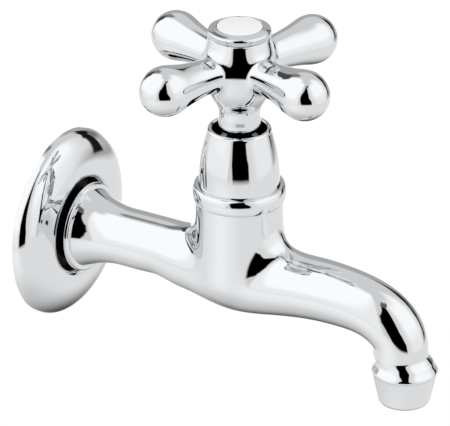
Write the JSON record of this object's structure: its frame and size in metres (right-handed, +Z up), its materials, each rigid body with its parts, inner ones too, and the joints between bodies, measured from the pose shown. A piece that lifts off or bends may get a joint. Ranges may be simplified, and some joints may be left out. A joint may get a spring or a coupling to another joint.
{
  "type": "wall-mounted basin tap",
  "caption": "Chrome wall tap with a cross handle on a bell cover, a round wall flange, a straight tube and a downturned spout with an aerator.",
  "frame": {"origin": "on the inlet's axis, in the plane of the wall that the flange rests on", "axes": "+X out of the wall towards the spout, +Z up along the valve's axis, +Y to the left seen from the front of the spout looking at the wall"},
  "size_m": [0.1689, 0.0848, 0.1301],
  "materials": {
    "chrome_casting": "polished",
    "chrome_sheet": "polished",
    "chrome_handle": "polished",
    "chrome_nozzle": "polished",
    "white_disc": "gloss",
    "machined_brass": "satin",
    "bronze": "satin",
    "steel": "satin",
    "rubber": "matte",
    "fibre": "matte",
    "white_plastic": "matte"
  },
  "bodies": {
    "root": {"tap_body": "chrome_casting", "wall_flange": "chrome_sheet", "bell_cover": "chrome_sheet", "cover_ring": "rubber", "headwork": "machined_brass", "headwork_gasket": "fibre", "aerator_housing": "chrome_nozzle", "mouth_gasket": "rubber", "aerator_cage": "white_plastic", "aerator_mesh_upper": "steel", "aerator_mesh_lower": "steel"},
    "handle": {"cross_handle": "chrome_handle", "handle_screw": "steel", "spring_washer": "steel", "index_cap": "chrome_handle", "index_disc": "white_disc", "spindle": "machined_brass", "thrust_washer": "bronze", "stem_ring_lower": "rubber", "stem_ring_upper": "rubber", "retaining_clip": "steel"},
    "valve": {"valve_carrier": "machined_brass", "seat_washer": "rubber", "washer_screw": "machined_brass"}
  },
  "joints": [
    {"name": "handle_turn", "type": "hinge", "parent": "root", "child": "handle", "pos_m": [0.0746, 0, 0.05], "axis": [0, 0, 1], "range_deg": [0, 765]},
    {"name": "valve_lift", "type": "slide", "parent": "root", "child": "valve", "axis": [0, 0, 1], "range_m": [0, 0.0045]}
  ],
  "couplings": [
    {"joint": "valve_lift", "follows": "handle_turn", "m_per_rad": 0.00033423}
  ]
}
